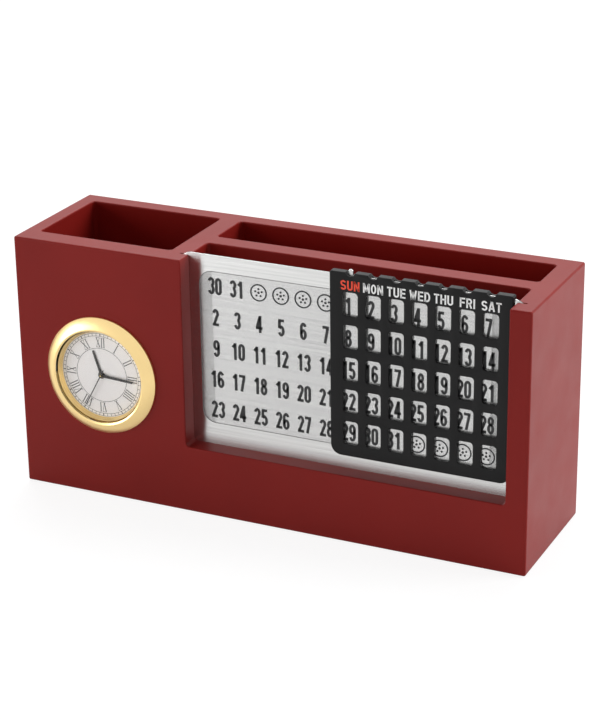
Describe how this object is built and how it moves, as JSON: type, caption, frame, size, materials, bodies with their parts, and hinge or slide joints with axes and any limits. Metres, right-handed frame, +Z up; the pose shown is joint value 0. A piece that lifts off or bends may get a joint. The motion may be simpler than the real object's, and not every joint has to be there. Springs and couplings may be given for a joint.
{
  "type": "desk organiser with perpetual calendar and clock",
  "caption": "Lacquered desk organiser with a pen cup, letter slots, an insert clock and a perpetual calendar plate with a sliding week frame.",
  "frame": {"origin": "centre of the wooden body's footprint, on the surface that it stands on", "axes": "+X to the right seen from the front, +Y to the back, +Z up"},
  "size_m": [0.2, 0.0583, 0.1013],
  "materials": {
    "lacquered_board": "deep red satin lacquer over fibreboard",
    "felt": "short black felt",
    "brushed_plate": "brushed, grain along its length",
    "clear_film": "clear printed film",
    "black_sheet": "satin black paint",
    "gold_ring": "gold plated, polished with a satin dome",
    "glass": "clear mineral glass",
    "dial_card": "printed dial, off white",
    "hand_grey": "dark grey",
    "black_plastic": "moulded, matt",
    "grip_rubber": "soft, matt",
    "steel": "plain",
    "brass": "stamped and turned",
    "copper_wire": "enamelled winding wire",
    "circuit": "green solder mask",
    "cell_steel": "nickel-plated",
    "pale_plastic": "moulded wheel"
  },
  "bodies": {
    "organiser": {"front_board": "lacquered_board", "back_board": "lacquered_board", "left_end_board": "lacquered_board", "right_end_board": "lacquered_board", "cup_divider": "lacquered_board", "slot_divider": "lacquered_board", "base_board": "lacquered_board", "corner_filler": "lacquered_board", "felt_base": "felt", "calendar_plate": "brushed_plate", "date_label": "clear_film"},
    "slider": {"week_slider": "black_sheet"},
    "clock": {"bezel": "gold_ring", "crystal_lens": "glass", "dial": "dial_card", "clock_case": "black_plastic", "back_cover": "black_plastic", "back_screws": "steel", "grip_ring": "grip_rubber", "main_plate": "brass", "train_bridge": "steel", "bridge_screws": "steel", "stator": "steel", "coil_core": "steel", "coil": "copper_wire", "circuit_board": "circuit", "quartz_can": "cell_steel", "battery": "cell_steel", "battery_contact": "brass"},
    "minute_work": {"cannon_pinion": "brass", "minute_hand": "hand_grey"},
    "hour_work": {"hour_wheel": "brass", "hour_hand": "hand_grey"},
    "motion_work": {"motion_wheel": "pale_plastic"},
    "setting_work": {"setting_knob": "black_plastic"},
    "seconds_work": {"seconds_wheel": "brass", "second_hand": "hand_grey"},
    "third_work": {"third_wheel": "brass"},
    "centre_work": {"centre_wheel": "brass"},
    "step_work": {"step_wheel": "pale_plastic"},
    "rotor_work": {"rotor": "steel"}
  },
  "joints": [
    {"name": "slider_shift", "type": "slide", "parent": "organiser", "child": "slider", "axis": [-1, 0, 0], "range_m": [0, 0.0517]},
    {"name": "clock_pull", "type": "slide", "parent": "organiser", "child": "clock", "axis": [0, -1, 0], "range_m": [0, 0.012]},
    {"name": "minute_hand_turn", "type": "hinge", "parent": "clock", "child": "minute_work", "pos_m": [-0.0653, -0.0275, 0.049], "axis": [0, 1, 0], "continuous": true},
    {"name": "hour_hand_turn", "type": "hinge", "parent": "clock", "child": "hour_work", "pos_m": [-0.0653, -0.0275, 0.049], "axis": [0, 1, 0], "continuous": true},
    {"name": "motion_wheel_turn", "type": "hinge", "parent": "clock", "child": "motion_work", "pos_m": [-0.0653, -0.0275, 0.0562], "axis": [0, 1, 0], "continuous": true},
    {"name": "setting_knob_turn", "type": "hinge", "parent": "clock", "child": "setting_work", "pos_m": [-0.0725, -0.0275, 0.0562], "axis": [0, 1, 0], "continuous": true},
    {"name": "second_hand_turn", "type": "hinge", "parent": "clock", "child": "seconds_work", "pos_m": [-0.0653, -0.0275, 0.049], "axis": [0, 1, 0], "continuous": true},
    {"name": "third_wheel_turn", "type": "hinge", "parent": "clock", "child": "third_work", "pos_m": [-0.0704, -0.0275, 0.049], "axis": [0, 1, 0], "continuous": true},
    {"name": "centre_wheel_turn", "type": "hinge", "parent": "clock", "child": "centre_work", "pos_m": [-0.0653, -0.0275, 0.049], "axis": [0, 1, 0], "continuous": true},
    {"name": "step_wheel_turn", "type": "hinge", "parent": "clock", "child": "step_work", "pos_m": [-0.06159, -0.0275, 0.04529], "axis": [0, 1, 0], "continuous": true},
    {"name": "rotor_turn", "type": "hinge", "parent": "clock", "child": "rotor_work", "pos_m": [-0.05853, -0.0275, 0.04223], "axis": [0, 1, 0], "continuous": true}
  ],
  "couplings": [
    {"joint": "hour_hand_turn", "follows": "minute_hand_turn", "ratio": 0.083333},
    {"joint": "motion_wheel_turn", "follows": "minute_hand_turn", "ratio": -0.33333},
    {"joint": "setting_knob_turn", "follows": "minute_hand_turn", "ratio": 1},
    {"joint": "third_wheel_turn", "follows": "second_hand_turn", "ratio": -0.13333},
    {"joint": "centre_wheel_turn", "follows": "second_hand_turn", "ratio": 0.016667},
    {"joint": "step_wheel_turn", "follows": "second_hand_turn", "ratio": -6},
    {"joint": "rotor_turn", "follows": "second_hand_turn", "ratio": 30}
  ]
}
